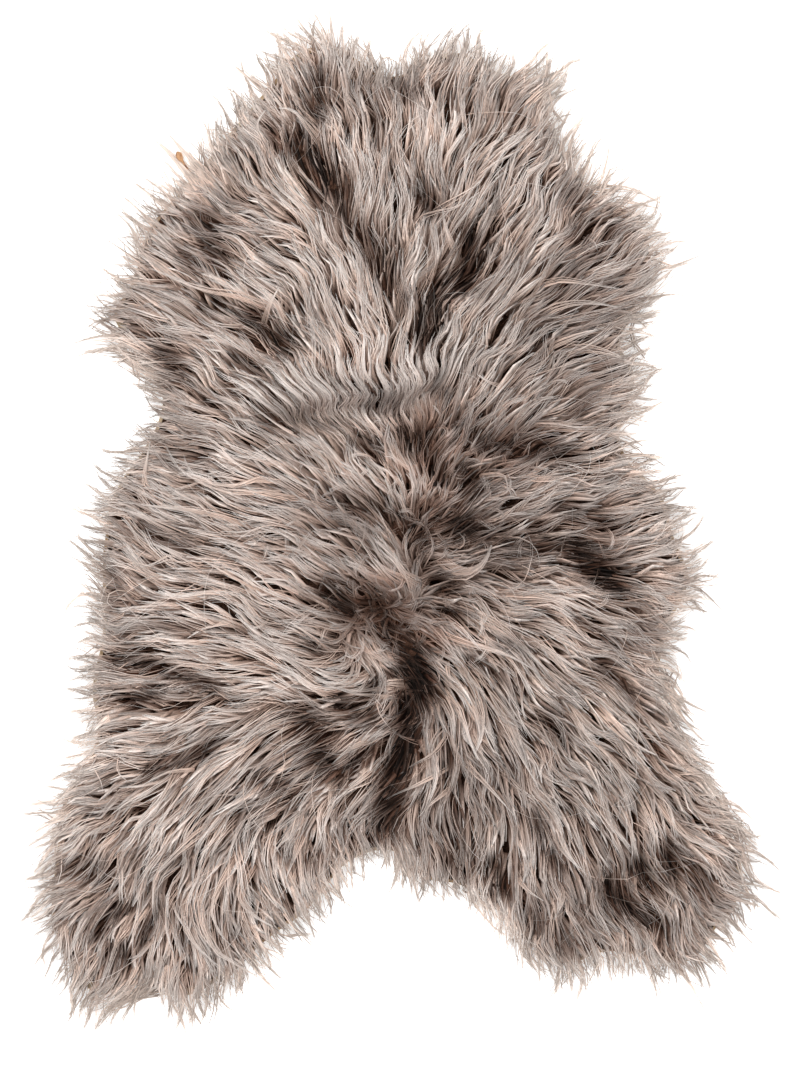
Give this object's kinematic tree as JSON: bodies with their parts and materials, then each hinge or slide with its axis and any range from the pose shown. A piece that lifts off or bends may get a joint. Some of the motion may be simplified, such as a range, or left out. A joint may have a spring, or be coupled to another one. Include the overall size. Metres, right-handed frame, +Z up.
{
  "type": "sheepskin",
  "caption": "Long-wool sheepskin with a notched neck and two hind-leg lobes, lying flat with its wool up as a rug or throw.",
  "frame": {"origin": "on the floor under the middle of the pelt's box", "axes": "+X to the pelt's right, +Y along the back to the neck, +Z up, out of the wool"},
  "size_m": [0.8386, 1.1418, 0.0732],
  "materials": {
    "wool": "soft long wool, grey-beige with darker roots, faintly shiny along the strands",
    "hide": "tanned flesh side, matt and suede-like"
  },
  "bodies": {
    "root": {"pelt": "wool"}
  },
  "joints": []
}
